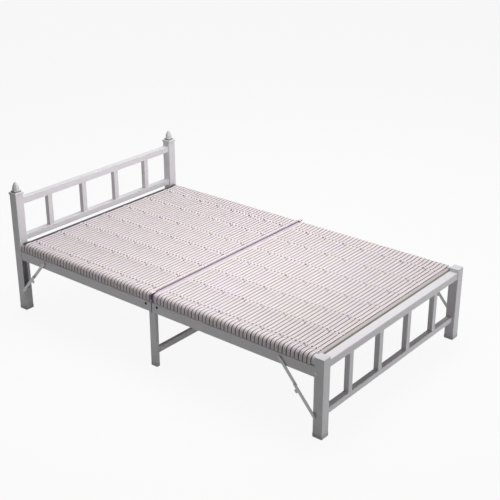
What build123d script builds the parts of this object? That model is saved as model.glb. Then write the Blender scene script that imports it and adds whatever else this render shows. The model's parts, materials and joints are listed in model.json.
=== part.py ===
from build123d import *
import math
import os

# Folding cot: two woven deck halves that fold up on a centre leg frame, with a
# headboard and a footboard that fold in under their halves. Millimetres, +Z up.
# The origin is on the floor at the middle of the bed, and the head is at +Y.

# Overall sizes
POST_SPAN_X = 1200.0          # over the outer faces of the corner posts
POST_SPAN_Y = 2000.0          # over the end faces of the corner posts
DECK_TOP = 391.0              # sleeping surface above the floor
FOOT_POST_TOP = 394.0         # top of the footboard's posts, caps included
HEAD_POST_TOP = 657.0         # top of the headboard's post tubes

# Tubes
POST_SIZE = 50.0
POST_WALL = 2.0
POST_CORNER = 3.0
RAIL_WIDTH = 30.0             # side rail, across the bed
RAIL_HEIGHT = 50.0
RAIL_WALL = 2.0
RAIL_CORNER = 1.5
RAIL_TOP = 346.0
RAIL_INSET = 2.5              # from the post's outer face to the rail's outer face
RAIL_STUB = 12.0              # rail past the pivot, inside the post
BAR_WALL = 1.5
BAR_CORNER = 1.2

# Woven deck
WRAP_INSET = 4.0              # from the post's outer face to the wraps
WRAP_WIDTH = 40.0
WRAP_CROWN = 24.0             # radius of the bend from the deck to the side
WRAP_CORNER = 6.0
STRAND = 3.0                  # thickness of the wrapped strands
SHEET = 6.0                   # thickness of the woven sheet, ties included
SEAM_GAP = 0.5                # wraps to the rail below
DECK_TO_POST = 3.0            # deck end to the posts, or to the footboard's rail if it is nearer
END_STRIP = 14.0              # bare end bar that shows at the foot

# Bars across each half
BAR_DEPTH = 20.0
BAR_BOTTOM = 352.0
CROSS_BAR_WIDTH = 25.0
CROSS_BAR_HEIGHT = 20.0
CROSS_BARS_AT = (330.0, 640.0)    # distances from the fold

# Fold hinge
FOLD_PIN_RISE = 2.5           # pin axis above the sleeping surface
FOLD_PIN_R = 3.0
FOLD_PIN_HEAD_R = 4.5
KNUCKLE_R = 6.0
KNUCKLE_LENGTH = 9.0
KNUCKLE_GAP = 0.4
LEAF_PLATE = 4.0
LEAF_GAP = 4.0                # fold line to the leaf plate
TONGUE = 6.0                  # thickness of the centre leaf's tongue
LEAF_TAB = 42.0               # tab of the leaf inside the rail
LEAF_TAB_HEIGHT = 30.0
LEAF_RIVET_R = 3.5
LEAF_RIVET_FROM_FOLD = 36.0
LEAF_RIVET_DROP = 15.0        # under the rail's top

# Centre legs
LEG_WIDTH = 20.0
LEG_DEPTH = 40.0
LEG_INSET = 5.0
LEG_WALL = 1.5
LEG_CORNER = 1.2
LEG_CAP_PLATE = 3.0
STRETCHER_DEPTH = 20.0
STRETCHER_HEIGHT = 30.0
STRETCHER_BOTTOM = 67.0

# End frames
PIVOT_FROM_POST_FACE = 10.0   # from the post's bed-facing face
PIVOT_Z = 320.0
PIVOT_R = 4.0
PIVOT_HEAD_R = 7.0
PIVOT_NUT = 13.0              # across the flats
PIVOT_NUT_HEIGHT = 5.0
SLOT_MARGIN = 3.0             # slot past the rail that turns in it
FOLD_ANGLE = 80.0             # the end frames fold in this far
FOOT_TOP_RAIL_DEPTH = 46.0
FOOT_TOP_RAIL_HEIGHT = 36.0
FOOT_TOP_RAIL_TOP = 376.0
FOOT_LOWER_RAIL_DEPTH = 30.0
FOOT_LOWER_RAIL_HEIGHT = 28.0
FOOT_LOWER_RAIL_TOP = 128.0
FOOT_RAIL_SETBACK = 4.0       # top rail behind the post's end face
FOOT_LOWER_SETBACK = 14.0
HEAD_RAIL_DEPTH = 32.0
HEAD_RAIL_SETBACK = 8.0       # from the post's end face
HEAD_TOP_RAIL_HEIGHT = 35.0
HEAD_TOP_RAIL_TOP = 632.0
HEAD_LOWER_RAIL_HEIGHT = 30.0
HEAD_LOWER_RAIL_TOP = 425.0
BALUSTER_WIDTH = 30.0
BALUSTER_DEPTH = 27.0
BALUSTER_PITCH = 243.0
BALUSTERS = 4

# Caps and finials
FOOT_CAP_WALL = 1.0
FOOT_CAP_HEIGHT = 20.0
FOOT_CAP_SOLE = 4.0
FOOT_CAP_BEVEL = 3.0
POST_CAP = 2.0
PLUG_DEPTH = 10.0
COLLAR_SIZE = 54.0
COLLAR_HEIGHT = 12.0
COLLAR_BEVEL = 3.0
NECK_SIZE = 37.0
NECK_HEIGHT = 8.0
DOME_SIZE = 35.0
DOME_HEIGHT = 45.0
DOME_SIDES = 8
DOME_TIP = 8.0
DOME_BULGE_INSET = 2.0        # from the dome's foot to its side at half height

# Braces
BRACE_WIDTH = 16.0
BRACE_PLATE = 3.0
BRACE_CLIP = 4.0              # clipped corners of a strap
BRACE_RAIL_FROM_PIVOT = 192.0     # upper rivet, along the rail from the pivot
BRACE_RAIL_DROP = 18.0            # upper rivet under the rail's top
BRACE_POST_DROP = 214.0           # lower rivet, down the post from the pivot
BRACE_POST_OFFSET = 2.0           # lower rivet, outwards of the pivot
UPPER_BRACE = 135.0               # upper rivet to the joint of the straps
BRACE_RIVET_R = 3.5
RIVET_HEAD_R = 6.5
RIVET_HEAD = 2.0
SHOULDER_R = 7.0
LUG_LENGTH = 18.0
LUG_REACH = 12.0
LUG_FROM_JOINT = 26.0

# Fits
PIN_CLEARANCE = 0.05          # radial, pin or rivet in its hole
SEAT = 0.3                    # soft or plain pieces to what carries them
SIDE_PLAY = 0.5               # flat pieces that slide past each other
STRAP_PLAY = 0.2
CUT_OVERRUN = 1.0             # cutters run past the faces that they open

# Worked out from the sizes above
HALF_X = POST_SPAN_X / 2
HALF_Y = POST_SPAN_Y / 2
POST_X = HALF_X - POST_SIZE / 2
POST_Y = HALF_Y - POST_SIZE / 2
POST_INNER_X = HALF_X - POST_SIZE
POST_BED_Y = HALF_Y - POST_SIZE
RAIL_OUT = HALF_X - RAIL_INSET
RAIL_X = RAIL_OUT - RAIL_WIDTH / 2
RAIL_BOTTOM = RAIL_TOP - RAIL_HEIGHT
PIVOT_Y = POST_BED_Y + PIVOT_FROM_POST_FACE
FOLD_PIN_Z = DECK_TOP + FOLD_PIN_RISE
RAIL_START = LEAF_GAP + LEAF_PLATE
FOOT_RAIL_BED_Y = HALF_Y - FOOT_RAIL_SETBACK - FOOT_TOP_RAIL_DEPTH
DECK_END = min(POST_BED_Y, FOOT_RAIL_BED_Y) - DECK_TO_POST
WRAP_OUT = HALF_X - WRAP_INSET
WRAP_BOTTOM = RAIL_TOP + SEAM_GAP
WRAP_IN = WRAP_OUT - WRAP_WIDTH
BAR_TOP = DECK_TOP - SHEET - SEAT
LEG_OUT = HALF_X - LEG_INSET
LEG_X = LEG_OUT - LEG_WIDTH / 2
LEG_TOP = RAIL_BOTTOM - SEAT - LEG_CAP_PLATE
LEAF_RIVET_Z = RAIL_TOP - LEAF_RIVET_DROP
BRACE_RAIL_Y = PIVOT_Y - BRACE_RAIL_FROM_PIVOT
BRACE_RAIL_Z = RAIL_TOP - BRACE_RAIL_DROP
BRACE_POST_Y = PIVOT_Y + BRACE_POST_OFFSET
BRACE_POST_Z = PIVOT_Z - BRACE_POST_DROP
BRACE_SPAN = math.hypot(BRACE_POST_Y - BRACE_RAIL_Y, BRACE_RAIL_Z - BRACE_POST_Z)
LOWER_BRACE = BRACE_SPAN - UPPER_BRACE
UPPER_BRACE_IN = HALF_X + SIDE_PLAY
LOWER_BRACE_IN = UPPER_BRACE_IN + BRACE_PLATE + SIDE_PLAY

LEFT, RIGHT = -1, 1
FOOT, HEAD = -1, 1
SIDES = (LEFT, RIGHT)


def block(x, y, z):
    """Box between the two limits given on each axis."""
    low = [min(pair) for pair in (x, y, z)]
    size = [abs(pair[1] - pair[0]) for pair in (x, y, z)]
    return Pos(*low) * Box(*size, align=(Align.MIN, Align.MIN, Align.MIN))


def rod(radius, x, y, z):
    """Round bar along X between the two x limits."""
    lying = Pos(min(x), y, z) * Rot(0, 90, 0)
    return lying * Cylinder(radius, abs(x[1] - x[0]), align=(Align.CENTER, Align.CENTER, Align.MIN))


def hollow(width, height, wall, corner, rolled):
    """Section of a tube, with rolled or flattened outer corners."""
    if rolled:
        outer = RectangleRounded(width, height, corner)
    else:
        outer = chamfer(Rectangle(width, height).vertices(), corner)
    return outer - Rectangle(width - 2 * wall, height - 2 * wall)


def tube(x, y, z, along, wall, corner, rolled=False):
    """Tube that fills the box between the limits, open at both ends along one axis."""
    cx, cy, cz = (sum(pair) / 2 for pair in (x, y, z))
    dx, dy, dz = (abs(pair[1] - pair[0]) for pair in (x, y, z))
    if along == "x":
        plane = Plane(origin=(min(x), cy, cz), x_dir=(0, 1, 0), z_dir=(1, 0, 0))
        return extrude(plane * hollow(dy, dz, wall, corner, rolled), dx)
    if along == "y":
        plane = Plane(origin=(cx, min(y), cz), x_dir=(1, 0, 0), z_dir=(0, 1, 0))
        return extrude(plane * hollow(dx, dz, wall, corner, rolled), dy)
    plane = Plane(origin=(cx, cy, min(z)), x_dir=(1, 0, 0), z_dir=(0, 0, 1))
    return extrude(plane * hollow(dx, dy, wall, corner, rolled), dz)


def about(centre, size):
    """Limits of a length centred on a place."""
    return centre - size / 2, centre + size / 2


def save(name, *shapes):
    """Write one node, with every solid of the shapes that it holds."""
    solids = [solid for shape in shapes for solid in shape.solids()]
    export_step(Compound(label=name, children=solids), os.path.join("parts", name + ".step"))


def end_name(end):
    return "head" if end == HEAD else "foot"


def side_name(side):
    return "left" if side == LEFT else "right"


# Centre leg frame
def knuckle_limits(slot, side):
    """X limits of one of the three knuckles on a fold pin, counted from the outside."""
    outer = RAIL_OUT - SIDE_PLAY - slot * (KNUCKLE_LENGTH + KNUCKLE_GAP)
    return side * outer, side * (outer - KNUCKLE_LENGTH)


def knuckle(slot, side, plate_y, bottom):
    """Eye round the fold pin, with the neck that joins it to its plate."""
    x = knuckle_limits(slot, side)
    neck = block(x, plate_y, (bottom, FOLD_PIN_Z - KNUCKLE_R / 2))
    return rod(KNUCKLE_R, x, 0, FOLD_PIN_Z) + neck


def pin_bore(side):
    x = (side * HALF_X, side * (HALF_X - 2 * RAIL_WIDTH))
    return rod(FOLD_PIN_R + PIN_CLEARANCE, x, 0, FOLD_PIN_Z)


def centre_leaf(side):
    """Cap plate of a centre leg with its tongue and knuckle."""
    leg = (side * LEG_OUT, side * (LEG_OUT - LEG_WIDTH))
    cap = block(leg, about(0, LEG_DEPTH), (LEG_TOP, LEG_TOP + LEG_CAP_PLATE))
    tongue = block(leg, about(0, TONGUE), (LEG_TOP, RAIL_TOP))
    return cap + tongue + knuckle(1, side, about(0, TONGUE), RAIL_TOP) - pin_bore(side)


def fold_pin(side):
    """Pin through the three knuckles of one side, with a head at its outer end."""
    outer = side * (knuckle_limits(0, RIGHT)[0] + STRAP_PLAY)
    inner = knuckle_limits(2, side)[1]
    shank = rod(FOLD_PIN_R, (outer, inner), 0, FOLD_PIN_Z)
    return shank + rod(FOLD_PIN_HEAD_R, (outer, outer + side * RIVET_HEAD), 0, FOLD_PIN_Z)


def foot_cap(x, y, size_x, size_y):
    """Plastic cup under a leg, with its sole edges bevelled."""
    outer = Rectangle(size_x + 2 * FOOT_CAP_WALL, size_y + 2 * FOOT_CAP_WALL)
    cup = extrude(Pos(x, y, 0) * outer, FOOT_CAP_HEIGHT)
    cup = chamfer(cup.edges().group_by(Axis.Z)[0] + cup.edges().filter_by(Axis.Z), FOOT_CAP_BEVEL)
    pocket_z = (FOOT_CAP_SOLE, FOOT_CAP_HEIGHT)
    clear = 2 * STRAP_PLAY
    return cup - block(about(x, size_x + clear), about(y, size_y + clear), pocket_z)


def centre_frame():
    for side in SIDES:
        leg = tube(about(side * LEG_X, LEG_WIDTH), about(0, LEG_DEPTH), (FOOT_CAP_SOLE, LEG_TOP),
                   "z", LEG_WALL, LEG_CORNER)
        save(side_name(side) + "_centre_leg", leg)
    stretcher_x = LEG_OUT - LEG_WIDTH
    save("centre_stretcher", tube((-stretcher_x, stretcher_x), about(0, STRETCHER_DEPTH),
                                  (STRETCHER_BOTTOM, STRETCHER_BOTTOM + STRETCHER_HEIGHT),
                                  "x", LEG_WALL, LEG_CORNER))
    save("centre_hinge_leaves", *[centre_leaf(side) for side in SIDES])
    save("fold_pins", *[fold_pin(side) for side in SIDES])
    save("centre_foot_caps", *[foot_cap(side * LEG_X, 0, LEG_WIDTH, LEG_DEPTH) for side in SIDES])


# Deck halves
def side_rail(side, end):
    rail = tube(about(side * RAIL_X, RAIL_WIDTH), (end * RAIL_START, end * (PIVOT_Y + RAIL_STUB)),
                (RAIL_BOTTOM, RAIL_TOP), "y", RAIL_WALL, RAIL_CORNER)
    across = (side * (RAIL_OUT + CUT_OVERRUN), side * (RAIL_OUT - RAIL_WIDTH - CUT_OVERRUN))
    pivot = rod(PIVOT_R + PIN_CLEARANCE, across, end * PIVOT_Y, PIVOT_Z)
    outer_wall = (side * (RAIL_OUT + CUT_OVERRUN), side * (RAIL_OUT - RAIL_WALL - CUT_OVERRUN))
    leaf = rod(LEAF_RIVET_R + PIN_CLEARANCE, outer_wall, end * LEAF_RIVET_FROM_FOLD, LEAF_RIVET_Z)
    return rail - pivot - leaf


def wrap_outline(side, inset):
    """Closed outline round a deck tube, drawn a given distance inside the wraps."""
    crown = WRAP_CROWN - inset
    corner = WRAP_CORNER - inset / 2
    out, inner = WRAP_OUT - inset, WRAP_IN + inset
    top, bottom = DECK_TOP - inset, WRAP_BOTTOM + inset
    corners = [(out, bottom), (out, top), (inner, top), (inner, bottom)]
    section = make_face(Polyline(*[(side * x, z) for x, z in corners], close=True))
    section = fillet(section.vertices().sort_by_distance((side * out, top, 0))[0], crown)
    lower = [section.vertices().sort_by_distance((side * x, bottom, 0))[0] for x in (out, inner)]
    return Plane.XZ * fillet(lower, corner)


def along_half(sketch, start, stop, end):
    """Extrude an XZ section along Y between two distances from the fold."""
    moved = Pos(0, end * start, 0) * sketch
    return extrude(moved, stop - start, dir=(0, end, 0))


def deck_tube(side, end):
    outer = wrap_outline(side, STRAND + SEAT)
    inner = wrap_outline(side, STRAND + SEAT + BAR_WALL)
    return along_half(outer - inner, RAIL_START, DECK_END, end)


def woven_deck(end):
    """Strand cloth of one half: the sheet, and the wraps round both deck tubes."""
    start = RAIL_START + SEAT
    sheet_end = DECK_END - (END_STRIP if end == FOOT else 0)
    sheet = block((-WRAP_OUT + WRAP_CROWN, WRAP_OUT - WRAP_CROWN),
                  (end * start, end * sheet_end), (DECK_TOP - SHEET, DECK_TOP))
    cloth = sheet
    for side in SIDES:
        cloth += along_half(wrap_outline(side, 0), start, DECK_END, end)
    for side in SIDES:
        cloth -= along_half(wrap_outline(side, STRAND), start - CUT_OVERRUN, DECK_END + CUT_OVERRUN, end)
    return cloth


def half_bar(end, start, stop, bottom, top):
    reach = WRAP_IN - SEAT
    return tube((-reach, reach), (end * start, end * stop), (bottom, top), "x", BAR_WALL, BAR_CORNER)


def half_leaf(side, end):
    """Plate over the rail's end at the fold, with its tab in the rail and its knuckle."""
    plate_y = (end * LEAF_GAP, end * (LEAF_GAP + LEAF_PLATE))
    across = (side * RAIL_OUT, side * (RAIL_OUT - RAIL_WIDTH))
    plate = block(across, plate_y, (RAIL_BOTTOM, RAIL_TOP))
    tab_out = RAIL_OUT - RAIL_WALL - STRAP_PLAY
    tab_mid = RAIL_TOP - RAIL_HEIGHT / 2
    tab = block((side * tab_out, side * (tab_out - LEAF_PLATE)),
                (end * RAIL_START, end * (RAIL_START + LEAF_TAB)), about(tab_mid, LEAF_TAB_HEIGHT))
    slot = 0 if end == HEAD else 2
    return plate + tab + knuckle(slot, side, plate_y, RAIL_TOP) - pin_bore(side)


def rivet(radius, head_r, face, tail, side, y, z):
    """Round-headed rivet along X: the head lies on a face, and the shank ends at the tail."""
    shank = rod(radius, (side * face, side * tail), y, z)
    return shank + rod(head_r, (side * face, side * (face + RIVET_HEAD)), y, z)


def shoulder_rivet(wall, strap_in, side, y, z):
    """Rivet that holds a strap off a wall: shoulder, shank through the strap, and head."""
    shoulder_end = strap_in - STRAP_PLAY
    shoulder = rod(SHOULDER_R, (side * wall, side * shoulder_end), y, z)
    face = strap_in + BRACE_PLATE + STRAP_PLAY
    return shoulder + rivet(BRACE_RIVET_R, RIVET_HEAD_R, face, shoulder_end, side, y, z)


def deck_half(end):
    name = end_name(end)
    for side in SIDES:
        save(f"{name}_{side_name(side)}_side_rail", side_rail(side, end))
        save(f"{name}_{side_name(side)}_deck_tube", deck_tube(side, end))
    fold_start = RAIL_START + SEAT
    save(f"{name}_fold_bar", half_bar(end, fold_start, fold_start + BAR_DEPTH, BAR_BOTTOM, BAR_TOP))
    save(f"{name}_end_bar", half_bar(end, DECK_END - BAR_DEPTH + SEAT, DECK_END, BAR_BOTTOM, BAR_TOP))
    cross_bottom = BAR_TOP - CROSS_BAR_HEIGHT
    save(f"{name}_cross_bars", *[half_bar(end, at, at + CROSS_BAR_WIDTH, cross_bottom, BAR_TOP)
                                 for at in CROSS_BARS_AT])
    save(f"{name}_woven_deck", woven_deck(end))
    save(f"{name}_hinge_leaves", *[half_leaf(side, end) for side in SIDES])
    tab_face = RAIL_OUT - RAIL_WALL - STRAP_PLAY
    save(f"{name}_leaf_rivets", *[rivet(LEAF_RIVET_R, RIVET_HEAD_R, RAIL_OUT, tab_face, side,
                                        end * LEAF_RIVET_FROM_FOLD, LEAF_RIVET_Z) for side in SIDES])
    save(f"{name}_brace_rivets", *[shoulder_rivet(RAIL_OUT, UPPER_BRACE_IN, side, end * BRACE_RAIL_Y,
                                                  BRACE_RAIL_Z) for side in SIDES])


# End frames
def slot_bottom():
    """Height where the folded rail's lower edge leaves the post's open wall."""
    angle = math.radians(FOLD_ANGLE)
    under = PIVOT_Z - RAIL_BOTTOM
    along = (PIVOT_FROM_POST_FACE + under * math.sin(angle)) / math.cos(angle)
    return PIVOT_Z - along * math.sin(angle) - under * math.cos(angle) - SLOT_MARGIN


def slot_top():
    above = math.hypot(RAIL_TOP - PIVOT_Z, RAIL_STUB)
    return PIVOT_Z + above + SLOT_MARGIN


def post(side, end, top):
    """Corner post, its bed-facing wall slotted so that the side rail can turn into it."""
    body = tube(about(side * POST_X, POST_SIZE), about(end * POST_Y, POST_SIZE), (FOOT_CAP_SOLE, top),
                "z", POST_WALL, POST_CORNER, rolled=True)
    slot = block((side * (HALF_X - POST_WALL), side * (RAIL_OUT - RAIL_WIDTH - SIDE_PLAY)),
                 (end * (POST_BED_Y - CUT_OVERRUN), end * (POST_BED_Y + POST_WALL)),
                 (slot_bottom(), slot_top()))
    across = (side * (HALF_X + CUT_OVERRUN), side * (POST_INNER_X - CUT_OVERRUN))
    return body - slot - rod(PIVOT_R + PIN_CLEARANCE, across, end * PIVOT_Y, PIVOT_Z)


def pivot_bolt(side, end):
    """Bolt through a post and the rail in it, with its nut on the post's inner face."""
    y = end * PIVOT_Y
    bolt = rivet(PIVOT_R, PIVOT_HEAD_R, HALF_X, POST_INNER_X - PIVOT_NUT_HEIGHT, side, y, PIVOT_Z)
    nut_x = min(side * POST_INNER_X, side * (POST_INNER_X - PIVOT_NUT_HEIGHT))
    plane = Plane(origin=(nut_x, y, PIVOT_Z), x_dir=(0, 1, 0), z_dir=(1, 0, 0))
    return bolt + extrude(plane * RegularPolygon(PIVOT_NUT / 2, 6, major_radius=False), PIVOT_NUT_HEIGHT)


def end_rail(end, depth, setback, top, height):
    outer = HALF_Y - setback
    return tube((-POST_INNER_X, POST_INNER_X), (end * (outer - depth), end * outer), (top - height, top),
                "x", BAR_WALL, BAR_CORNER)


def balusters(end, middle, bottom, top):
    first = -BALUSTER_PITCH * (BALUSTERS - 1) / 2
    return [tube(about(first + n * BALUSTER_PITCH, BALUSTER_WIDTH), about(end * middle, BALUSTER_DEPTH),
                 (bottom, top), "z", BAR_WALL, BAR_CORNER) for n in range(BALUSTERS)]


def plug(side, end, top):
    """Part of a post's cap that sits in the tube."""
    size = POST_SIZE - 2 * POST_WALL - 2 * STRAP_PLAY
    return extrude(Pos(side * POST_X, end * POST_Y, top) * Rectangle(size, size), -PLUG_DEPTH)


def post_cap(side, end):
    """Flat cover on a footboard post."""
    base = FOOT_POST_TOP - POST_CAP
    centre = Pos(side * POST_X, end * POST_Y, base)
    cover = extrude(centre * chamfer(Rectangle(POST_SIZE, POST_SIZE).vertices(), POST_CAP), POST_CAP)
    return cover + plug(side, end, base)


def collar(side, end):
    """Square collar on a headboard post, its top edge bevelled."""
    centre = Pos(side * POST_X, end * POST_Y, HEAD_POST_TOP)
    cover = extrude(centre * Rectangle(COLLAR_SIZE, COLLAR_SIZE), COLLAR_HEIGHT)
    return chamfer(cover.edges().group_by(Axis.Z)[-1], COLLAR_BEVEL) + plug(side, end, HEAD_POST_TOP)


def dome():
    """Many-sided dome with curved sides, standing on the origin."""
    foot, bulge, tip = DOME_SIZE / 2, DOME_SIZE / 2 - DOME_BULGE_INSET, DOME_TIP / 2
    right = ThreePointArc((foot, 0), (bulge, DOME_HEIGHT / 2), (tip, DOME_HEIGHT))
    left = ThreePointArc((-tip, DOME_HEIGHT), (-bulge, DOME_HEIGHT / 2), (-foot, 0))
    arch = make_face([right, Line(right @ 1, left @ 0), left, Line(left @ 1, right @ 0)])
    vault = extrude(Plane.XZ * arch, DOME_SIZE, both=True)
    shape = vault
    for turn in range(1, DOME_SIDES // 2):
        shape = shape & Rot(0, 0, turn * 360 / DOME_SIDES) * vault
    return shape


def finial(side, end):
    """Square neck and dome on a headboard post."""
    centre = Pos(side * POST_X, end * POST_Y, HEAD_POST_TOP + COLLAR_HEIGHT)
    neck = extrude(centre * Rectangle(NECK_SIZE, NECK_SIZE), NECK_HEIGHT)
    return neck + centre * Pos(0, 0, NECK_HEIGHT) * dome()


def end_frame(end):
    name = end_name(end) + "board"
    post_top = HEAD_POST_TOP if end == HEAD else FOOT_POST_TOP - POST_CAP
    for side in SIDES:
        save(f"{name}_{side_name(side)}_post", post(side, end, post_top))
    if end == HEAD:
        top = (HEAD_RAIL_DEPTH, HEAD_RAIL_SETBACK, HEAD_TOP_RAIL_TOP, HEAD_TOP_RAIL_HEIGHT)
        lower = (HEAD_RAIL_DEPTH, HEAD_RAIL_SETBACK, HEAD_LOWER_RAIL_TOP, HEAD_LOWER_RAIL_HEIGHT)
        middle = HALF_Y - HEAD_RAIL_SETBACK - HEAD_RAIL_DEPTH / 2
        save("headboard_collars", *[collar(side, end) for side in SIDES])
        save("headboard_finials", *[finial(side, end) for side in SIDES])
    else:
        top = (FOOT_TOP_RAIL_DEPTH, FOOT_RAIL_SETBACK, FOOT_TOP_RAIL_TOP, FOOT_TOP_RAIL_HEIGHT)
        lower = (FOOT_LOWER_RAIL_DEPTH, FOOT_LOWER_SETBACK, FOOT_LOWER_RAIL_TOP, FOOT_LOWER_RAIL_HEIGHT)
        middle = HALF_Y - FOOT_LOWER_SETBACK - FOOT_LOWER_RAIL_DEPTH / 2
        save("footboard_post_caps", *[post_cap(side, end) for side in SIDES])
    save(f"{name}_top_rail", end_rail(end, *top))
    save(f"{name}_lower_rail", end_rail(end, *lower))
    save(f"{name}_balusters", *balusters(end, middle, lower[2], top[2] - top[3]))
    save(f"{name}_pivot_bolts", *[pivot_bolt(side, end) for side in SIDES])
    save(f"{name}_brace_rivets", *[shoulder_rivet(HALF_X, LOWER_BRACE_IN, side, end * BRACE_POST_Y,
                                                  BRACE_POST_Z) for side in SIDES])
    feet = [foot_cap(side * POST_X, end * POST_Y, POST_SIZE, POST_SIZE) for side in SIDES]
    save(f"{name}_foot_caps", *feet)


# Braces
def brace_point(distance, end):
    """Place on the line of a straight brace, at a distance from its upper rivet."""
    share = distance / BRACE_SPAN
    y = BRACE_RAIL_Y + share * (BRACE_POST_Y - BRACE_RAIL_Y)
    z = BRACE_RAIL_Z + share * (BRACE_POST_Z - BRACE_RAIL_Z)
    return end * y, z


def strap(side, end, start, stop, inner, lower):
    """Flat strap with clipped ends. The lower one has a hole at each end and a stop lug."""
    y0, z0 = brace_point(start, end)
    y1, z1 = brace_point(stop, end)
    length = stop - start
    x = inner if side == RIGHT else -inner - BRACE_PLATE
    plane = Plane(origin=(x, (y0 + y1) / 2, (z0 + z1) / 2), x_dir=(0, y1 - y0, z1 - z0), z_dir=(1, 0, 0))
    outline = Rectangle(length + BRACE_WIDTH, BRACE_WIDTH)
    shape = chamfer(outline.vertices(), BRACE_CLIP)
    if lower:
        # The lug is on the edge that faces the floor and the middle of the bed.
        reach = BRACE_WIDTH / 2 + LUG_REACH
        shape += Pos(LUG_FROM_JOINT - length / 2, -end * reach / 2) * Rectangle(LUG_LENGTH, reach)
    holes = (-length / 2, length / 2) if lower else (-length / 2,)
    for place in holes:
        shape -= Pos(place, 0) * Circle(BRACE_RIVET_R + PIN_CLEARANCE)
    return extrude(plane * shape, BRACE_PLATE)


def braces(end):
    name = end_name(end)
    save(f"{name}_upper_braces", *[strap(side, end, 0, UPPER_BRACE, UPPER_BRACE_IN, False) for side in SIDES])
    save(f"{name}_lower_braces", *[strap(side, end, UPPER_BRACE, BRACE_SPAN, LOWER_BRACE_IN, True)
                                   for side in SIDES])
    joint = brace_point(UPPER_BRACE, end)
    save(f"{name}_brace_mid_rivets", *[rivet(BRACE_RIVET_R, RIVET_HEAD_R, LOWER_BRACE_IN + BRACE_PLATE,
                                             LOWER_BRACE_IN, side, *joint) for side in SIDES])


os.makedirs("parts", exist_ok=True)
centre_frame()
for bed_end in (HEAD, FOOT):
    deck_half(bed_end)
    end_frame(bed_end)
    braces(bed_end)
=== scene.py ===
import json
import math
import random

import bpy
from mathutils import Matrix, Vector


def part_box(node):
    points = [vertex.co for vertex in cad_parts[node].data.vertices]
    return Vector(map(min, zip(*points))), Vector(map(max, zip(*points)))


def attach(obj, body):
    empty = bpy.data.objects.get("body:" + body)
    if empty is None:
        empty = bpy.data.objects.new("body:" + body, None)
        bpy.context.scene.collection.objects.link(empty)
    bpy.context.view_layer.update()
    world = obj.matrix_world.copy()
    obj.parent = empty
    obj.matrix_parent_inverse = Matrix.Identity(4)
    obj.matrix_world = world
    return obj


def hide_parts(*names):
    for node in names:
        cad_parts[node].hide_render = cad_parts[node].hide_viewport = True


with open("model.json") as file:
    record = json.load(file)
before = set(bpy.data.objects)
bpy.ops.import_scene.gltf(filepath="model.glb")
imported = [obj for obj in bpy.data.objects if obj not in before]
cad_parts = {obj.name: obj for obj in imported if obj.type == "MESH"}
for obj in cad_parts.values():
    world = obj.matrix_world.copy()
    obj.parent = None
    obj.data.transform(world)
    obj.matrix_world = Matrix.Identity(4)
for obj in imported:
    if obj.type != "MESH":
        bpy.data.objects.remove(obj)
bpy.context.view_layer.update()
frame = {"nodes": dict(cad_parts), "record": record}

bl_info = {
    "name": "Folding Cot Finishes",
    "version": (1, 0, 0),
    "blender": (4, 5, 0),
    "location": "View3D > Sidebar > Cot",
    "description": "Woven straps, ties, paint and plastic of a folding cot",
    "category": "Add Mesh",
}

MM = 0.001
ENDS = {"head": 1, "foot": -1}
WHITE = (1, 1, 1, 1)

# Camera, fitted to the picture of the cot: place in metres, turns in radians, lens in millimetres
CAMERA_AT = (-3.6612, -3.0884, 2.5241)
CAMERA_DOWN = 0.415
CAMERA_HEADING = -0.889
CAMERA_LENS = 73.58
SENSOR = 36.0
FAR_CLIP = 200.0

# Stage: each lamp's place, aim and size
OVERHEAD_LAMP = ((1.6, 0.5, 4.0), (0.2, 0.3, 0.3), 3.6)
FRONT_LAMP = ((1.2, -4.2, 1.3), (0.2, -0.9, 0.3), 2.0)
HEAD_LAMP = ((-0.2, -0.5, 1.9), (0, 0.97, 0.5), 1.2)
FLOOR_SIZE = 80.0
FLOOR_WHITE = 0.92            # share of plain white in the floor that the camera sees

# Woven deck, in millimetres: ties from the middle, and rows of knots from the fold
TIES_AT = (-525, -355, -195, -25, 140, 310, 475)
KNOT_ROWS = {
    "head": (50, 150, 265, 390, 505, 635, 755, 870),
    "foot": (125, 240, 365, 485, 610, 730, 850),
}
DECK_X = 596.0                # outer faces of the wraps, from the middle
DECK_TOP = 391.0
DECK_FLOOR = 346.5            # undersides of the wraps
WRAP_WIDTH = 40.0
CROWN = 24.0                  # round of the wraps at the top
LOWER_CORNER = 3.0
CROWN_STEPS = 8
CORNER_STEPS = 3
INNER_DROP = 5.0              # a strap's ends stop this far below the top, inside the wraps
INNER_RISE = 8.0              # and run straight down to this far above the lower corner
FOLD_FLANK = 14.6             # the straps begin this far from the fold
END_STRIPS = {"head": 0.0, "foot": 17.0}  # and end this far short of the deck's ends
STRAP_BASE = 2.9              # underside of the straps below the wraps' outline
SAG = 2.7                     # the straps hang this far below the side tubes' tops
SAG_RUN = 20.0                # at this distance from the wraps
SAG_SHARES = (0, 0.3, 0.5, 0.7, 1)
STRAP_LOW = DECK_TOP - STRAP_BASE - SAG
RIB_EDGE = 0.95               # ribs end at this share of a strap's half width
# A strap from its edge to its middle: shares of its half width and of its height
STRAP_RIBS = (
    (0.992, 0.05), (0.90, 0.10), (0.80, 0.55), (0.66, 0.92),
    (0.46, 1.0), (0.25, 0.92), (0.11, 0.78), (0.0, 0.72),
)
STRAP_FOOT = 0.97             # half width of a strap's underside
SHIFT_ALONG = 0.4             # straps are laid this far out of place
SHIFT_ACROSS = 0.08
SHIFT_SEED = 12

# Ties, in millimetres
TIE_RAMP = 5.0                # straps climb a tie over this distance
TIE_CLEAR = 1.0               # a strap stays up, or drawn in, this far past a tie
CORE = 4.0                    # straps over a tie are drawn in this far from its middle
CORE_RAMP = 3.0
TIE_SLACK = 0.2               # a tie runs this far below the straps over it
KNOT_RISE = 0.6               # and this far above the strap that it crosses at a knot
TIE_SHORT = 1.0               # it begins and ends this far inside the border straps
DIVE = 2.3                    # and is painted dark below this height over the strap that it crosses, as shade under the straps
SLANT = 11.0                  # it shifts this far to each side as it crosses a knot
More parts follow.
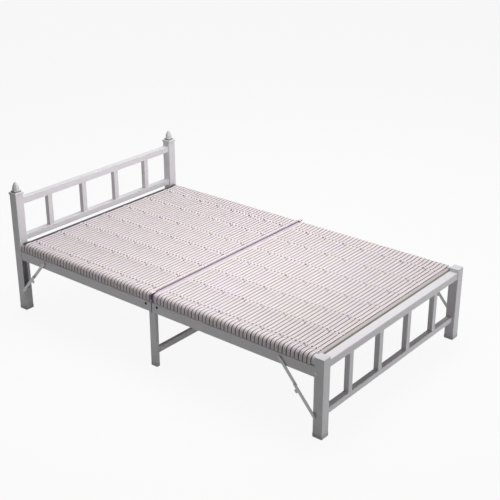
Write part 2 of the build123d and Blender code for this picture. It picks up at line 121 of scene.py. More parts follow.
# A tie from the middle of a knot outwards: distance in half strap widths, and shares of its climb,
# its width and its slant
KNOT_STEPS = (
    (0, 1.08, 1.06, 0), (0.66, 0.97, 1.0, 0.7), (0.86, 0.5, 0.9, 0.9),
    (1.02, 0.08, 0.9, 1), (1.6, 0, 1.0, 0),
)

# Fold tape, in millimetres
TAPE_EDGE = 8.2               # it ends this far from the fold
TAPE_REACH = 566.0            # and turns down this far from the middle
TAPE_BEND = 7.0
TAPE_BEND_STEPS = 6
TAPE_CREST = 391.8
TAPE_BASE = 384.9
TAPE_DROP = 24.0              # how far it hangs down at the sides
TAPE_HOLD = 6.0               # and how far it stays straight below the bend
TAPE_STATIONS = range(-500, 501, 100)
# Its upper outline: distances from the fold, and heights over the crest
TAPE_PIPING = ((0.8, -0.7), (1.6, 0.0), (4.6, 0.0), (6.2, -0.7), (TAPE_EDGE, -2.6))

# Where finishes change, in metres: a pair is the start and the end of a soft step
NECK_FOOT = (0.669, 0.6694)   # painted shade: the finials' dark necks, recessed under the domes, start here
NECK_TOP = (0.6766, 0.677)    # and end here
TAPE_START = (0.358, 0.362)   # tape on the hinge leaves starts at this height, painted lighter on the sides to make up for their shade
TAPE_TOP = (0.388, 0.390)     # is less lightened above this one, on the lit top
KNUCKLE = (0.3930, 0.3955)    # and pale over the tops of the knuckles
TONGUE = (0.0031, 0.0036)     # painted shade: the centre leaf's tongue, in the slit at the fold, is dark up to here beside the fold
TIE_BREAK = (0.011, 0.015)    # dark strap edges are broken up to here beside a tie
SIDE_TOP = (0.376, 0.386)     # painted shade: straps have darker edges below this height, down the sides
HEAD_EDGE = 0.020             # painted shade of the gap before the headboard: a dark edge of the last strap at the head, this wide
HEAD_EDGE_SOFT = 0.0006
HEAD_EDGE_RISE = (0.382, 0.386)
DIVE_SOFT = 0.0012
FLANK = (0.0052, 0.0064)      # the fold tape is pale from here outwards
FLANK_RISE = (0.380, 0.386)

# Shares of a strap's half width
GROOVE = (0.03, 0.14)         # the groove fades out here
EDGING = (0.67, 0.81)         # the dark edge fades in here: partly the straps' own mauve, partly painted shade of the gaps between them
TIE_BREAK_SHIFT = 0.16        # it moves out by this beside a tie
CORE_SHIFT = 0.24             # and in by this on the tie, as painted shade in the gaps where the straps are drawn in

# Scuffs: where they start in the noise, and the heights over which they fade out
SCUFF = (0.60, 0.72)
SCUFF_RISE = (0.03, 0.22)

# Tints, as shares of a finish's own colour
SCUFF_TINT = 0.55
# painted shade on the centre leaf's tongue, in the slit at the fold
TONGUE_SHADE_TINT = 0.12
# painted shade in the finials' recessed necks
NECK_SHADE_TINT = 0.4
SIDE_SHADE_TINT = 0.45              # painted shade on the strap edges down the sides
DIVE_SHADE_TINT = 1.1               # painted shade on ties where they have dived under straps, from the strap edges' colour
# painted shade of the gap before the headboard, on the last strap at the head
HEAD_GAP_SHADE_TINT = 0.25
RIVET_SHADE_TINT = 0.1          # painted shade of the holes, on the rivets beside the fold, from the plated steel's colour
LEAF_TAPE_LIT_TINTS = (2.4, 1.5)       # tape on the hinge leaves, from the fold tape's colour: painted light on the shaded sides, less on the top
KNUCKLE_TINT = 1.2            # and on the knuckles, from the fold strap's colour

# Modelling
MERGE = 0.02 * MM
SMOOTH_BELOW = math.radians(60)


# Shader arithmetic
class Value:
    """A shader socket on which arithmetic can be written."""

    def __init__(self, shading, socket):
        self.shading = shading
        self.socket = socket

    def _math(self, operation, first, second=0.0):
        return self.shading.node("ShaderNodeMath", {"operation": operation}, {0: first, 1: second})

    def __add__(self, other):
        return self._math("ADD", self, other)

    __radd__ = __add__

    def __sub__(self, other):
        return self._math("SUBTRACT", self, other)

    def __rsub__(self, other):
        return self._math("SUBTRACT", other, self)

    def __mul__(self, other):
        return self._math("MULTIPLY", self, other)

    __rmul__ = __mul__

    def __abs__(self):
        return self._math("ABSOLUTE", self)

    def wave(self):
        """Sine of the value, moved to between 0 and 1."""
        return self._math("SINE", self) * 0.5 + 0.5

    def smaller(self, other):
        return self._math("MINIMUM", self, other)

    def larger(self, other):
        return self._math("MAXIMUM", self, other)

    def ramp(self, low, high):
        """0 below the low mark and 1 above the high one, with a smooth step between."""
        settings = {"interpolation_type": "SMOOTHSTEP"}
        return self.shading.node(
            "ShaderNodeMapRange", settings, {"Value": self, "From Min": low, "From Max": high})


class Shading:
    """A node tree, and the way to add nodes to it."""

    def __init__(self, tree):
        self.tree = tree

    def node(self, kind, settings=None, inputs=None, output=0):
        """Add a node, give it its settings and then its sockets, and return one of its outputs."""
        made = self.tree.nodes.new(kind)
        for key, value in (settings or {}).items():
            setattr(made, key, value)
        for key, value in (inputs or {}).items():
            self.join(value, made.inputs[key])
        return Value(self, made.outputs[output])

    def join(self, value, socket):
        """Link a value to a socket, or set a constant on it."""
        if isinstance(value, Value):
            self.tree.links.new(value.socket, socket)
        else:
            socket.default_value = value

    def background_rays(self):
        """1 for the rays that see the background: straight, mirrored or through glass."""
        rays = self.node("ShaderNodeLightPath").socket.node.outputs
        seen = Value(self, rays["Is Camera Ray"])
        for name in ("Is Glossy Ray", "Is Transmission Ray"):
            seen = seen.larger(Value(self, rays[name]))
        return seen


class Finish(Shading):
    """One material, its shader and the nodes that feed it."""

    def __init__(self, name, **fixed):
        self.material = bpy.data.materials.new(name)
        self.material.use_nodes = True
        super().__init__(self.material.node_tree)
        self.shader = self.tree.nodes["Principled BSDF"]
        for socket, value in fixed.items():
            self.feed(socket.replace("_", " "), value)

    def feed(self, socket, value):
        self.join(value, self.shader.inputs[socket])

    def place(self):
        return self.node("ShaderNodeTexCoord", output="Object")

    def axes(self, vector):
        split = self.node("ShaderNodeSeparateXYZ", inputs={0: vector})
        return [Value(self, socket) for socket in split.socket.node.outputs]

    def strap_map(self):
        """Distance along a strap and place across it, from the piece's own map."""
        return self.axes(self.node("ShaderNodeUVMap"))[:2]

    def vector(self, x, y, z):
        return self.node("ShaderNodeCombineXYZ", inputs={0: x, 1: y, 2: z})

    def noise(self, at, scale, detail=2.0, roughness=0.5):
        inputs = {"Vector": at, "Scale": scale, "Detail": detail, "Roughness": roughness}
        return self.node("ShaderNodeTexNoise", inputs=inputs)

    def cells(self, at, scale):
        return self.node("ShaderNodeTexVoronoi", inputs={"Vector": at, "Scale": scale}, output="Color")

    def blend(self, factor, first, second):
        """Colour between two colours."""
        inputs = {0: factor, 6: first, 7: second}
        return self.node("ShaderNodeMix", {"data_type": "RGBA"}, inputs, output=2)

    def bump(self, height, distance, strength):
        inputs = {"Height": height, "Distance": distance, "Strength": strength}
        self.feed("Normal", self.node("ShaderNodeBump", inputs=inputs))


def tinted(colour, share):
    """A colour made lighter or darker, with full alpha."""
    return tuple(min(1.0, channel * share) for channel in colour[:3]) + (1.0,)


# Finishes
def satin_paint(name, colour, tape=None):
    """Satin paint: broad tone, fine flake, and scuffs that gather near the floor.

    Hinge leaves are taped at the top, in three colours from the sides up to the tops of the knuckles; the
    tape is painted lighter on the sides, to make up for the shade there. The tongue of the centre leaf is
    painted dark, as shade in the slit at the fold.
    """
    finish = Finish(name, IOR=1.5)
    at = finish.place()
    _, y, height = finish.axes(at)
    tone = finish.noise(at, scale=5.0, detail=3.0)
    flake = finish.noise(at, scale=2600.0, detail=1.0)
    worn = finish.noise(at, scale=95.0, detail=6.0, roughness=0.62)
    scuff = worn.ramp(*SCUFF) * (1.0 - height.ramp(*SCUFF_RISE))
    shade = finish.blend(tone * 0.6 + flake * 0.4, tinted(colour, 0.94), tinted(colour, 1.05))
    if tape:
        # Painted shade: the centre leaf's tongue sits in the slit at the fold and is painted dark.
        shade = finish.blend(1.0 - abs(y).ramp(*TONGUE), shade, tinted(colour, TONGUE_SHADE_TINT))
        # Painted light: the lower tape is lighter, for the shade on the leaves' sides.
        for step, taped in zip((TAPE_START, TAPE_TOP, KNUCKLE), tape):
            shade = finish.blend(height.ramp(*step), shade, taped)
    finish.feed("Base Color", finish.blend(scuff * 0.55, shade, tinted(colour, SCUFF_TINT)))
    finish.feed("Roughness", 0.36 + tone * 0.12 + scuff * 0.2)
    finish.bump(finish.noise(at, scale=420.0), distance=0.00008, strength=0.5)
    return finish.material


def brace_zinc(name, colour):
    """Light grey plated strap with a faint spangle and rolling marks."""
    finish = Finish(name, Metallic=0.55)
    at = finish.place()
    spangle = finish.axes(finish.cells(at, scale=160.0))[0]
    rolled = finish.noise(at, scale=300.0, detail=3.0)
    shade = finish.blend(spangle * 0.5 + rolled * 0.5, tinted(colour, 0.88), tinted(colour, 1.08))
    finish.feed("Base Color", shade)
    finish.feed("Roughness", 0.34 + rolled * 0.18)
    finish.bump(rolled, distance=0.00005, strength=0.5)
    return finish.material


def plated_steel(name, colour):
    """Plated rivets, bolts and pins with fine uneven marks."""
    finish = Finish(name, Metallic=1.0)
    at = finish.place()
    marks = finish.noise(at, scale=700.0, detail=4.0)
    finish.feed("Base Color", finish.blend(marks, tinted(colour, 0.75), tinted(colour, 1.1)))
    finish.feed("Roughness", 0.28 + marks * 0.25)
    finish.bump(marks, distance=0.00004, strength=0.5)
    return finish.material


def moulded_plastic(name, colour, gloss, necked=False):
    """Moulded plastic with a fine grain, and painted shade round the finials' recessed necks."""
    finish = Finish(name)
    at = finish.place()
    grain = finish.noise(at, scale=1500.0)
    tone = finish.noise(at, scale=22.0)
    shade = finish.blend(tone, tinted(colour, 0.93), tinted(colour, 1.05))
    if necked:
        height = finish.axes(at)[2]
        # Painted shade: the recessed necks of the finials are darkened.
        neck = height.ramp(*NECK_FOOT) * (1.0 - height.ramp(*NECK_TOP))
        shade = finish.blend(neck, shade, tinted(colour, NECK_SHADE_TINT))
    finish.feed("Base Color", shade)
    finish.feed("Roughness", gloss + grain * 0.12)
    finish.bump(grain, distance=0.00006, strength=0.6)
    return finish.material


def nearest_tie(x):
    """Distance from the nearest tie, for a shader."""
    gaps = [abs(x - tie * MM) for tie in TIES_AT]
    near = gaps[0]
    for gap in gaps[1:]:
        near = near.smaller(gap)
    return near


def woven_strand(name, ribs, groove, edge, dive_shade_below=None, gap_shade_from=None):
    """Two-ribbed strap: pale ribs, a soft groove between them and dark mauve edges, which are partly the
    straps' own colour and partly painted shade of the gaps between straps.

    The edges of straps are broken at the ties. Past gap_shade_from the last strap at the head is painted
    dark, as shade of the gap before the headboard. A tie is painted dark below the height at which it has
    dived, as shade under the straps over it.
    """
    finish = Finish(name, Sheen_Weight=0.15)
    along, across = finish.strap_map()
    off = abs(across - 0.5) * 2.0
    x, y, z = finish.axes(finish.place())
    strand = finish.noise(finish.vector(along * 6.0, across * 30.0, y * 3.0), scale=3.0, detail=3.0)
    twist = (along * 2600.0 + across * 16.0).wave()
    warmth = finish.noise(finish.vector(x * 1.4, y * 9.0, 0.0), scale=1.0).ramp(0.35, 0.65)
    cool = (ribs[0], ribs[1] * 0.99, ribs[2] * 1.03, 1)
    warm = (ribs[0], ribs[1] * 1.01, ribs[2] * 0.95, 1)
    pale = finish.blend(warmth, cool, warm)
    pale = finish.blend(strand.ramp(0.25, 0.75), tinted(ribs, 0.92), pale)
    grooved = finish.blend((1.0 - off.ramp(*GROOVE)) * 0.6, pale, groove)
    if not dive_shade_below:
        near = nearest_tie(x)
        core = 1.0 - near.ramp(CORE * MM, (CORE + CORE_RAMP) * MM)
        off = off - (1.0 - near.ramp(*TIE_BREAK)) * TIE_BREAK_SHIFT + core * CORE_SHIFT
    # Painted shade: the strap edges are darker down the sides of the deck.
    edging = finish.blend(z.ramp(*SIDE_TOP), tinted(edge, SIDE_SHADE_TINT), edge)
    # Painted shade: the dark edges are partly the straps' own mauve and partly the shade in the gaps
    # between straps, widened where straps are drawn in over a tie.
    shade = finish.blend(off.ramp(*EDGING), grooved, edging)
    # Painted shade: the ties are dark where they dive under the straps.
    if dive_shade_below:
        shade = finish.blend(1.0 - z.ramp(dive_shade_below - DIVE_SOFT, dive_shade_below), shade, tinted(edge, DIVE_SHADE_TINT))
    # Painted shade: a dark band on the last strap at the head stands for the shade in the gap before the
    # headboard.
    if gap_shade_from:
        past = y.ramp(gap_shade_from - HEAD_EDGE_SOFT, gap_shade_from + HEAD_EDGE_SOFT)
        shade = finish.blend(past * z.ramp(*HEAD_EDGE_RISE), shade, tinted(edge, HEAD_GAP_SHADE_TINT))
    finish.feed("Base Color", shade)
    finish.feed("Roughness", 0.52 + strand * 0.16)
    finish.bump(twist * 0.35 + strand * 0.65, distance=0.0004, strength=0.6)
    return finish.material


def edge_tape(name, low, high):
    """Tape along the fold with a fine twill, dark at the fold and down its sides and pale on its flanks."""
    finish = Finish(name, Sheen_Weight=0.2)
    along, across = finish.strap_map()
    at = finish.place()
    _, y, z = finish.axes(at)
    twill = (along * 1500.0 + across * 9.0).wave()
    tone = finish.noise(at, scale=40.0, detail=3.0) * 0.6 + twill * 0.4
    dark = finish.blend(tone, tinted(low, 0.85), tinted(low, 1.15))
    pale = finish.blend(tone, tinted(high, 0.9), tinted(high, 1.08))
    flank = abs(y).ramp(*FLANK) * z.ramp(*FLANK_RISE)
    finish.feed("Base Color", finish.blend(flank, dark, pale))
    finish.feed("Roughness", 0.6 + tone * 0.15)
    finish.bump(twill, distance=0.0003, strength=0.6)
    return finish.material


# Modelling helpers
def deselect():
    bpy.ops.object.select_all(action="DESELECT")


def wrapped_bar(name, along, around, corner):
    """A grid wrapped round into a closed bar: corner(i, j) gives a point and its map place."""
    deselect()
    bpy.ops.mesh.primitive_grid_add(x_subdivisions=along, y_subdivisions=around, size=1.0)
    bar = bpy.context.active_object
    bar.name = bar.data.name = name
    mesh = bar.data
    steps = [(round((v.co.x + 0.5) * along), round((v.co.y + 0.5) * around)) for v in mesh.vertices]
    laid = {step: corner(*step) for step in set(steps)}
    mapped = mesh.uv_layers.active.data
    for loop in mesh.loops:
        mapped[loop.index].uv = laid[steps[loop.vertex_index]][1]
    for vertex, step in zip(mesh.vertices, steps):
        vertex.co = laid[step][0]
    bpy.ops.object.mode_set(mode="EDIT")
    bpy.ops.mesh.select_all(action="SELECT")
    bpy.ops.mesh.remove_doubles(threshold=MERGE)
    bpy.ops.mesh.select_all(action="SELECT")
    bpy.ops.mesh.fill_holes(sides=0)
    bpy.ops.mesh.select_all(action="SELECT")
    bpy.ops.mesh.normals_make_consistent(inside=False)
    bpy.ops.object.mode_set(mode="OBJECT")
    bpy.ops.object.shade_smooth_by_angle(angle=SMOOTH_BELOW)
    return bar


def copied(piece, shift):
    """A copy of a piece with its own mesh, moved in its mesh."""
    twin = piece.copy()
    twin.data = piece.data.copy()
    twin.data.transform(Matrix.Translation(shift))
    bpy.context.collection.objects.link(twin)
    return twin


def joined(name, pieces):
    """Many pieces made one."""
    deselect()
    for piece in pieces:
        piece.select_set(True)
    bpy.context.view_layer.objects.active = pieces[0]
    bpy.ops.object.join()
    whole = bpy.context.active_object
    whole.name = whole.data.name = name
    return whole


def dressed(piece, material, body):
    """Give a finished piece its material and the body that it rides on."""
    piece.data.materials.clear()
    piece.data.materials.append(material)
    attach(piece, body)
    return piece


def eased(share):
    """A smooth step from 0 to 1."""
    share = max(0.0, min(1.0, share))
    return share * share * (3 - 2 * share)


# Lines across the deck, in millimetres: points in x and z, each with its outward normal
def arc(x, z, radius, start, stop, steps):
    """Points and normals round an arc, in degrees."""
    points = []
    for step in range(steps + 1):
        angle = math.radians(start + (stop - start) * step / steps)
        normal = (math.cos(angle), math.sin(angle))
        points.append(((x + radius * normal[0], z + radius * normal[1]), normal))
    return points


def across_deck(side, middle):
    """A line from side to side: the right side's points mirrored, the middle's, and the right side's."""
    left = [((-x, z), (-nx, nz)) for (x, z), (nx, nz) in side]
    return left + middle + side[::-1]


def run_lengths(line):
    """Distance of each point of a line from its start."""
    runs = [0.0]
    for (first, _), (second, _) in zip(line, line[1:]):
        runs.append(runs[-1] + math.dist(first, second))
    return runs


def tie_gap(x):
    """Distance from the nearest tie, in the modelling."""
    return min(abs(x - tie) for tie in TIES_AT)


def tie_flat(weave):
    """Half the width over which a strap lies flat on a tie."""
    return weave.tie_width / MM / 2 + TIE_CLEAR


def strap_rise(x, weave, lifted):
    """Height of a strap's underside: it hangs between the side tubes and climbs over the ties."""
    rise = DECK_TOP - STRAP_BASE - SAG * eased((DECK_X - WRAP_WIDTH - abs(x)) / SAG_RUN)
    if lifted:
        rise += weave.tie_lift / MM * (1 - eased((tie_gap(x) - tie_flat(weave)) / TIE_RAMP))
    return rise


def strap_line(weave, lifted):
    """The underside of a strap, from one inner end to the other."""
    out, top, low = DECK_X - STRAP_BASE, DECK_TOP - STRAP_BASE, DECK_FLOOR + STRAP_BASE
    inner = DECK_X - WRAP_WIDTH + STRAP_BASE
    corner, crown = LOWER_CORNER - STRAP_BASE / 2, CROWN - STRAP_BASE
    side = [((inner, top - INNER_DROP), (-1, 0)), ((inner, low + corner + INNER_RISE), (-1, 0))]
    side += arc(inner + corner, low + corner, corner, 180, 270, CORNER_STEPS)
    side += arc(out - corner, low + corner, corner, 270, 360, CORNER_STEPS)
    side += arc(out - crown, top - crown, crown, 0, 90, CROWN_STEPS)
    flat = tie_flat(weave)
    steps = (0, CORE, CORE + CORE_RAMP, flat, flat + TIE_RAMP)
    marks = {tie + sign * step for tie in TIES_AT for sign in (-1, 1) for step in steps}
    reach = DECK_X - WRAP_WIDTH
    marks |= {sign * (reach - SAG_RUN * share) for sign in (-1, 1) for share in SAG_SHARES}
    middle = [((x, strap_rise(x, weave, lifted)), (0, 1)) for x in sorted(marks)]
    return across_deck(side, middle)


def strap_section():
    """Ring of a two-ribbed strap, as shares of its half width and of its height."""
    foot = (STRAP_FOOT, 0.0)
    left = [(-share, rise) for share, rise in reversed(STRAP_RIBS[:-1])]
    return [foot, *STRAP_RIBS, *left, (-STRAP_FOOT, 0.0), foot]


def strap_pinch(x, weave, narrow, lifted):
    """Share of its width that a strap keeps, drawn in where ties cross it."""
    held, ramp = (CORE, CORE_RAMP) if lifted else (tie_flat(weave), TIE_RAMP)
    return 1 - (1 - narrow) * (1 - eased((tie_gap(x) - held) / ramp))


def make_strap(name, weave, pitch, lifted, narrow=1.0):
    """One strap across the deck, lifted over the ties or lying under their knots."""
    line = strap_line(weave, lifted)
    runs = run_lengths(line)
    ring = strap_section()

    def corner(i, j):
        (x, z), (nx, nz) = line[i]
        share, rise = ring[j]
        kept = strap_pinch(x, weave, narrow, lifted) if abs(share) < RIB_EDGE else 1
        height = rise * weave.strap_height / MM
        place = Vector((x + nx * height, share * pitch / 2 * kept, z + nz * height)) * MM
        return place, (runs[i] * MM, 0.5 + share / 2)

    return wrapped_bar(name, len(line) - 1, len(ring) - 1, corner)


def deck_reach(end):
    """Distances from the fold at which the straps of a half begin and end."""
    low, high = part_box(end + "_woven_deck")
    far = max(abs(low.y), abs(high.y)) / MM
    return FOLD_FLANK, far - END_STRIPS[end]


def strap_places(end, weave):
    """Pitch of the straps of a half, and the distance of each from the fold."""
    near, far = deck_reach(end)
    count = weave.head_straps if end == "head" else weave.foot_straps
    pitch = (far - near) / count
    return pitch, [near + pitch * (index + 0.5) for index in range(count)]


def knot_places(end, weave):
    """Distances from the fold of the straps that the ties cross."""
    places = strap_places(end, weave)[1]
    return [min(places, key=lambda place: abs(place - row)) for row in KNOT_ROWS[end]]


def make_tie(name, weave, end):
    """One lengthwise band: under the straps, and slanting over one strap at each knot."""
    pitch = strap_places(end, weave)[0]
    near, far = deck_reach(end)
    under = STRAP_LOW + (weave.tie_lift - weave.tie_height) / MM - TIE_SLACK
    over = STRAP_LOW + weave.strap_height / MM + KNOT_RISE
    sign = ENDS[end]
    steps = [(-step, share, wide, -slant) for step, share, wide, slant in reversed(KNOT_STEPS[1:])]
    steps += KNOT_STEPS
    stations = [(near + pitch + TIE_SHORT, under, 1.0, 0.0)]
    for knot in knot_places(end, weave):
        for step, share, wide, slant in steps:
            height = under + (over - under) * share
            stations.append((knot + step * pitch / 2, height, wide, sign * SLANT * slant))
    stations.append((far - pitch - TIE_SHORT, under, 1.0, 0.0))
    ring = strap_section()

    def corner(i, j):
        distance, base, wide, shift = stations[i]
        share, rise = ring[j]
        x = shift * MM + share * wide * weave.tie_width / 2
        z = base * MM + rise * weave.tie_height
        return Vector((x, sign * distance * MM, z)), (distance * MM, 0.5 + share / 2)

    return wrapped_bar(name, len(stations) - 1, len(ring) - 1, corner)


def make_fold_tape(name, end):
    """Piped tape along the fold edge of a half, turned down at both sides."""
    bend = TAPE_CREST - TAPE_BEND
    side = [((TAPE_REACH, TAPE_CREST - TAPE_DROP), (1, 0)), ((TAPE_REACH, bend - TAPE_HOLD), (1, 0))]
    side += arc(TAPE_REACH - TAPE_BEND, bend, TAPE_BEND, 0, 90, TAPE_BEND_STEPS)
    line = across_deck(side, [((x, TAPE_CREST), (0, 1)) for x in TAPE_STATIONS])
    runs = run_lengths(line)
    low = TAPE_BASE - TAPE_CREST
    foot = (TAPE_PIPING[0][0], low)
    ring = [foot, *TAPE_PIPING, (TAPE_EDGE, low), foot]
    sign = ENDS[end]

    def corner(i, j):
        (x, z), (nx, nz) = line[i]
        y, height = ring[j]
        place = Vector((x + nx * height, sign * y, z + nz * height)) * MM
        return place, (runs[i] * MM, y / TAPE_EDGE)

    return wrapped_bar(name, len(line) - 1, len(ring) - 1, corner)


# Settings
class CotWeave(bpy.types.PropertyGroup):
    head_straps: bpy.props.IntProperty(
        name="Head straps", description="Straps across the head half", default=43)
    foot_straps: bpy.props.IntProperty(
        name="Foot straps", description="Straps across the foot half", default=42)
    strap_height: bpy.props.FloatProperty(
        name="Strap height", description="Thickness of a strap at its ribs",
        default=3.1 * MM, unit="LENGTH")
    tie_narrow: bpy.props.FloatProperty(
        name="Tie narrowing", description="Share of its width that a strap keeps over a tie",
        default=0.80, min=0.0, max=1.0, subtype="FACTOR")
    knot_narrow: bpy.props.FloatProperty(
        name="Knot narrowing", description="Share of its width that a strap keeps under a knot",
        default=0.66, min=0.0, max=1.0, subtype="FACTOR")
    tie_width: bpy.props.FloatProperty(
        name="Tie width", description="Width of a lengthwise tie", default=16 * MM, unit="LENGTH")
    tie_height: bpy.props.FloatProperty(
        name="Tie height", description="Thickness of a lengthwise tie", default=2.4 * MM, unit="LENGTH")
    tie_lift: bpy.props.FloatProperty(
        name="Tie lift", description="How far straps climb over a tie", default=2.8 * MM, unit="LENGTH")


class CotFinish(bpy.types.PropertyGroup):
    frame_paint: bpy.props.FloatVectorProperty(
        name="Frame paint", description="Silver-grey paint of the tubes", subtype="COLOR",
        default=(0.73, 0.715, 0.735))
    end_bar: bpy.props.FloatVectorProperty(
        name="End bar", description="Olive-beige paint of the bars at the deck's ends", subtype="COLOR",
        default=(0.475, 0.437, 0.42))
    brace_zinc: bpy.props.FloatVectorProperty(
        name="Brace zinc", description="Plating of the brace straps", subtype="COLOR",
        default=(0.46, 0.46, 0.46))
    plated_steel: bpy.props.FloatVectorProperty(
        name="Plated steel", description="Rivets, bolts and pins", subtype="COLOR",
        default=(0.35, 0.34, 0.33))
    cap_plastic: bpy.props.FloatVectorProperty(
        name="Cap plastic", description="Post caps, collars and finials", subtype="COLOR",
        default=(0.67, 0.66, 0.68))
    foot_plastic: bpy.props.FloatVectorProperty(
        name="Foot plastic", description="Cups under the legs", subtype="COLOR",
        default=(0.60, 0.59, 0.60))
    strap_ribs: bpy.props.FloatVectorProperty(
        name="Strap ribs", description="Pale ribs of the straps", subtype="COLOR",
        default=(0.812, 0.735, 0.750))
    strap_groove: bpy.props.FloatVectorProperty(
        name="Strap groove", description="Groove between the ribs", subtype="COLOR",
        default=(0.44, 0.38, 0.31))
    # Partly the straps' own mauve, partly painted shade of the gaps between straps
    strap_edge: bpy.props.FloatVectorProperty(
        name="Strap edge", description="Low edges of the straps", subtype="COLOR",
        default=(0.150, 0.104, 0.147))
    fold_strap: bpy.props.FloatVectorProperty(
        name="Fold strap", description="Lilac straps beside the fold", subtype="COLOR",
        default=(0.66, 0.568, 0.633))
    fold_side: bpy.props.FloatVectorProperty(
        name="Fold side", description="Mauve sides of the straps beside the fold", subtype="COLOR",
        default=(0.46, 0.30, 0.53))
    fold_tape: bpy.props.FloatVectorProperty(
        name="Fold tape", description="Tape along the fold", subtype="COLOR",
        default=(0.108, 0.075, 0.114))


class CotStage(bpy.types.PropertyGroup):
    floor: bpy.props.FloatVectorProperty(
        name="Floor", description="Pale studio floor", subtype="COLOR", default=(0.70, 0.70, 0.70))
    sky: bpy.props.FloatProperty(
        name="Sky", description="Strength of the even studio light", default=0.096)
    key: bpy.props.FloatProperty(
        name="Key", description="Power of the large lamp overhead", default=113.0, unit="POWER")
    front: bpy.props.FloatProperty(
        name="Front", description="Power of the lamp at the foot", default=34.0, unit="POWER")
    head: bpy.props.FloatProperty(
        name="Head", description="Power of the lamp on the headboard", default=21.0, unit="POWER")


def strand_colours(finish):
    """Ribs, groove and edge of the straps and ties, with full alpha."""
    return [tinted(colour, 1.0) for colour in (finish.strap_ribs, finish.strap_groove, finish.strap_edge)]


# Operators
class COT_OT_straps(bpy.types.Operator):
    """Weave the cross straps of both deck halves"""
    bl_idname = "cot.straps"
    bl_label = "Cross Straps"

    def execute(self, context):
        weave, finish = context.scene.cot_weave, context.scene.cot_finish
        # The last strap at the head gets a band of painted shade for the gap before the headboard.
        gap_shade_from = deck_reach("head")[1] * MM - HEAD_EDGE
        material = woven_strand("woven_strand", *strand_colours(finish), gap_shade_from=gap_shade_from)
        draw = random.Random(SHIFT_SEED)
        for end, sign in ENDS.items():
            pitch, places = strap_places(end, weave)
            knots = knot_places(end, weave)
            plain = make_strap("plain_strap", weave, pitch, lifted=True, narrow=weave.tie_narrow)
            knotted = make_strap("knotted_strap", weave, pitch, lifted=False, narrow=weave.knot_narrow)
            border = make_strap("border_strap", weave, pitch, lifted=False)
            straps = []
            for place in places:
                pattern = knotted if place in knots else plain
                if place in (places[0], places[-1]):
                    pattern = border
                along = draw.uniform(-SHIFT_ALONG, SHIFT_ALONG)
                across = draw.uniform(-SHIFT_ACROSS, SHIFT_ACROSS)
                straps.append(copied(pattern, Vector((along, sign * place + across, 0)) * MM))
            for pattern in (plain, knotted, border):
                bpy.data.objects.remove(pattern)
            deck = dressed(joined(end + "_cross_straps", straps), material, end + "_half")
            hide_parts(end + "_woven_deck")
        return {"FINISHED"}


class COT_OT_ties(bpy.types.Operator):
    """Thread the lengthwise ties through the straps of both halves"""
    bl_idname = "cot.ties"
    bl_label = "Lengthwise Ties"

    def execute(self, context):
        weave, finish = context.scene.cot_weave, context.scene.cot_finish
        # Painted shade on the ties below this height, where they dive under the straps.
        dive_shade_below = (STRAP_LOW + DIVE) * MM + weave.strap_height
        material = woven_strand("tie_strand", *strand_colours(finish), dive_shade_below=dive_shade_below)
        for end in ENDS:
            tie = make_tie("tie", weave, end)
            ties = [copied(tie, Vector((x, 0, 0)) * MM) for x in TIES_AT]
            bpy.data.objects.remove(tie)
            dressed(joined(end + "_ties", ties), material, end + "_half")
        return {"FINISHED"}


class COT_OT_fold_tapes(bpy.types.Operator):
    """Bind the fold edge of both halves with tape, and lay a lilac strap beside it"""
    bl_idname = "cot.fold_tapes"
    bl_label = "Fold Tapes"

    def execute(self, context):
        weave, finish = context.scene.cot_weave, context.scene.cot_finish
        piping = edge_tape("fold_tape", finish.fold_tape, finish.fold_strap)
        lilac = edge_tape("fold_strap", finish.fold_side, finish.fold_strap)
        width = FOLD_FLANK - TAPE_EDGE
        for end, sign in ENDS.items():
            dressed(make_fold_tape(end + "_fold_tape", end), piping, end + "_half")
            strap = make_strap(end + "_fold_strap", weave, width, lifted=False)
            strap.data.transform(Matrix.Translation((0, sign * (TAPE_EDGE + width / 2) * MM, 0)))
            dressed(strap, lilac, end + "_half")
        return {"FINISHED"}


class COT_OT_hardware(bpy.types.Operator):
    """Paint the tubes, plate the braces and rivets, and colour the caps"""
    bl_idname = "cot.hardware"
    bl_label = "Frame and Hardware"

    def execute(self, context):
        finish = context.scene.cot_finish
        materials = {
            "frame_paint": satin_paint("silver_paint", finish.frame_paint),
            "end_bar_paint": satin_paint("end_bar_paint", finish.end_bar),
            "brace_paint": brace_zinc("brace_zinc", finish.brace_zinc),
            "bare_steel": plated_steel("plated_steel", finish.plated_steel),
            "cap_plastic": moulded_plastic("cap_plastic", finish.cap_plastic, gloss=0.38, necked=True),
            "foot_cap_plastic": moulded_plastic("foot_plastic", finish.foot_plastic, gloss=0.45),
        }
        # Painted light: the tape on the leaves' sides is lighter than the tape on top, to make up for the
        # shade there.
        tape = [tinted(finish.fold_tape, tint) for tint in LEAF_TAPE_LIT_TINTS]
        tape.append(tinted(finish.fold_strap, KNUCKLE_TINT))
        taped = satin_paint("taped_leaf", finish.frame_paint, tape)
        # Painted shade: the rivets beside the fold are painted near-black for the dark holes that they sit
        # in.
        rivet_shade = plated_steel("rivet_hole_shade", tinted(finish.plated_steel, RIVET_SHADE_TINT))
        for subpart in frame["record"]["subparts"]:
            material = materials.get(subpart["material_slot"])
            if subpart["node"].endswith("hinge_leaves"):
                material = taped
            if subpart["node"].endswith("leaf_rivets"):
                material = rivet_shade
            if material:
                node = frame["nodes"][subpart["node"]]
                node.data.materials.clear()
                node.data.materials.append(material)
        return {"FINISHED"}


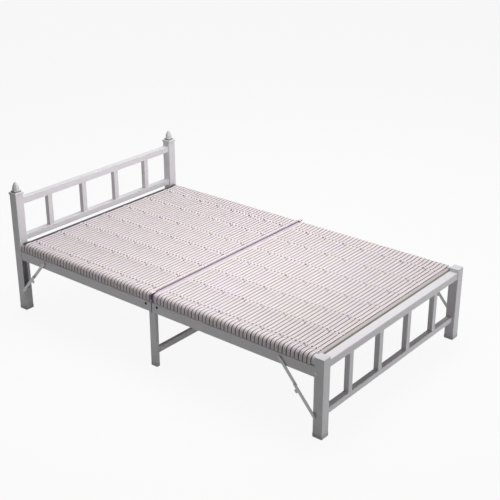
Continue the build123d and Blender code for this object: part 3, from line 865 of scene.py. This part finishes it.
class COT_OT_stage(bpy.types.Operator):
    """Lay the floor, hang the lamps and set the camera"""
    bl_idname = "cot.stage"
    bl_label = "Stage"

    def execute(self, context):
        scene, stage = context.scene, context.scene.cot_stage
        scene.view_settings.view_transform = "Standard"
        deselect()
        bpy.ops.mesh.primitive_plane_add(size=FLOOR_SIZE)
        floor = context.active_object
        floor.name = "studio_floor"
        floor.data.materials.append(self.floor_paint(stage.floor))
        self.sky(scene, stage.sky)
        self.lamp("overhead_lamp", *OVERHEAD_LAMP, stage.key)
        self.lamp("front_lamp", *FRONT_LAMP, stage.front)
        self.lamp("head_lamp", *HEAD_LAMP, stage.head)
        turned = (math.pi / 2 - CAMERA_DOWN, 0, CAMERA_HEADING)
        bpy.ops.object.camera_add(location=CAMERA_AT, rotation=turned)
        camera = context.active_object
        camera.data.lens = CAMERA_LENS
        camera.data.sensor_width = SENSOR
        camera.data.clip_end = FAR_CLIP
        scene.camera = camera
        return {"FINISHED"}

    def floor_paint(self, colour):
        """Pale matt floor that the camera sees nearly white, with the cot's shadow on it."""
        finish = Finish("pale_floor", Base_Color=tinted(colour, 1.0), Roughness=0.9)
        white = finish.node("ShaderNodeEmission", inputs={"Color": WHITE, "Strength": 1.0})
        shader = Value(finish, finish.shader.outputs[0])
        share = finish.background_rays() * FLOOR_WHITE
        mixed = finish.node("ShaderNodeMixShader", inputs={0: share, 1: shader, 2: white})
        finish.join(mixed, finish.tree.nodes["Material Output"].inputs["Surface"])
        return finish.material

    def sky(self, scene, strength):
        """Even light all round, white where the camera sees it."""
        scene.world = scene.world or bpy.data.worlds.new("studio")
        scene.world.use_nodes = True
        shading = Shading(scene.world.node_tree)
        light = shading.tree.nodes["Background"]
        shading.join(WHITE, light.inputs["Color"])
        shading.join(strength, light.inputs["Strength"])
        even = Value(shading, light.outputs[0])
        white = shading.node("ShaderNodeBackground", inputs={"Color": WHITE})
        rays = shading.background_rays()
        mixed = shading.node("ShaderNodeMixShader", inputs={0: rays, 1: even, 2: white})
        shading.join(mixed, shading.tree.nodes["World Output"].inputs["Surface"])

    def lamp(self, name, place, target, size, power):
        """A square soft lamp, turned towards a target."""
        bpy.ops.object.light_add(type="AREA", location=place)
        lamp = bpy.context.active_object
        lamp.name = name
        lamp.data.size = size
        lamp.data.energy = power
        aim = Vector(target) - Vector(place)
        lamp.rotation_euler = aim.to_track_quat("-Z", "Y").to_euler()


class COT_PT_panel(bpy.types.Panel):
    """The cot's pieces, sizes and finishes"""
    bl_idname = "COT_PT_panel"
    bl_label = "Folding Cot"
    bl_space_type = "VIEW_3D"
    bl_region_type = "UI"
    bl_category = "Cot"

    def draw(self, context):
        for operator in OPERATORS:
            self.layout.operator(operator.bl_idname)
        for name, group in SETTINGS.items():
            for setting in group.__annotations__:
                self.layout.prop(getattr(context.scene, name), setting)


SETTINGS = {"cot_weave": CotWeave, "cot_finish": CotFinish, "cot_stage": CotStage}
OPERATORS = (COT_OT_straps, COT_OT_ties, COT_OT_fold_tapes, COT_OT_hardware, COT_OT_stage)


def register():
    for known in (*SETTINGS.values(), *OPERATORS, COT_PT_panel):
        bpy.utils.register_class(known)
    for name, group in SETTINGS.items():
        setattr(bpy.types.Scene, name, bpy.props.PointerProperty(type=group))


def unregister():
    for name in SETTINGS:
        delattr(bpy.types.Scene, name)
    for known in (COT_PT_panel, *reversed(OPERATORS), *SETTINGS.values()):
        bpy.utils.unregister_class(known)


def main():
    register()
    bpy.ops.cot.straps()
    bpy.ops.cot.ties()
    bpy.ops.cot.fold_tapes()
    bpy.ops.cot.hardware()
    bpy.ops.cot.stage()


if __name__ == "__main__":
    main()
